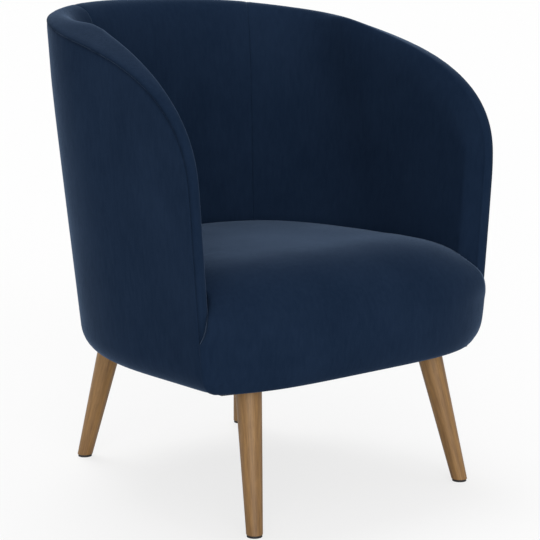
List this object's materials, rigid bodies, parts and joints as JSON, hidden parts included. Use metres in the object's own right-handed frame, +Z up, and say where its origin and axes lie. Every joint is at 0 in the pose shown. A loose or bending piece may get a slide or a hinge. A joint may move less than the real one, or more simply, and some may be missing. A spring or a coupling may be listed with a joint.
{
  "type": "tub chair",
  "caption": "Upholstered tub chair with a wraparound back and arms that slope down to the front, a fixed sprung seat and splayed round wooden legs.",
  "frame": {"origin": "on the floor, below the middle of the chair's box", "axes": "+Z up, the front of the chair towards -Y, +X towards the arm on the right of the picture"},
  "size_m": [0.65, 0.58, 0.7884],
  "materials": {
    "velvet": "short velvet pile, dark navy, with a pale sheen at grazing angles",
    "lining_cloth": "matt black non-woven cloth",
    "foam": "matt cut foam",
    "hardboard": "matt pressed board",
    "frame_wood": "sawn birch plywood",
    "leg_wood": "satin clear-lacquered oak",
    "steel": "zinc-plated, satin",
    "glide": "matt black"
  },
  "bodies": {
    "root": {"outside_left_cover": "velvet", "outside_right_cover": "velvet", "outside_back_cover": "velvet", "inside_left_cover": "velvet", "inside_right_cover": "velvet", "inside_back_cover": "velvet", "seat_cover": "velvet", "dust_cover": "lining_cloth", "wall_foam": "foam", "seat_foam": "foam", "front_foam": "foam", "outer_board": "hardboard", "lining_board": "hardboard", "base_ring": "frame_wood", "seat_ring": "frame_wood", "front_board": "hardboard", "front_rail": "frame_wood", "rear_spacer": "frame_wood", "left_spacer": "frame_wood", "right_spacer": "frame_wood", "left_front_post": "frame_wood", "right_front_post": "frame_wood", "left_arm_rail": "frame_wood", "right_arm_rail": "frame_wood", "back_rail": "frame_wood", "left_side_rib": "frame_wood", "right_side_rib": "frame_wood", "left_corner_rib": "frame_wood", "right_corner_rib": "frame_wood", "left_back_rib": "frame_wood", "right_back_rib": "frame_wood", "front_left_leg_block": "frame_wood", "front_right_leg_block": "frame_wood", "rear_left_leg_block": "frame_wood", "rear_right_leg_block": "frame_wood", "seat_springs": "steel", "spring_clips": "steel", "clip_nails": "steel", "spring_cloth": "lining_cloth", "front_left_leg": "leg_wood", "front_right_leg": "leg_wood", "rear_left_leg": "leg_wood", "rear_right_leg": "leg_wood", "leg_bolts": "steel", "leg_nuts": "steel", "glides": "glide", "frame_screws": "steel"}
  },
  "joints": []
}
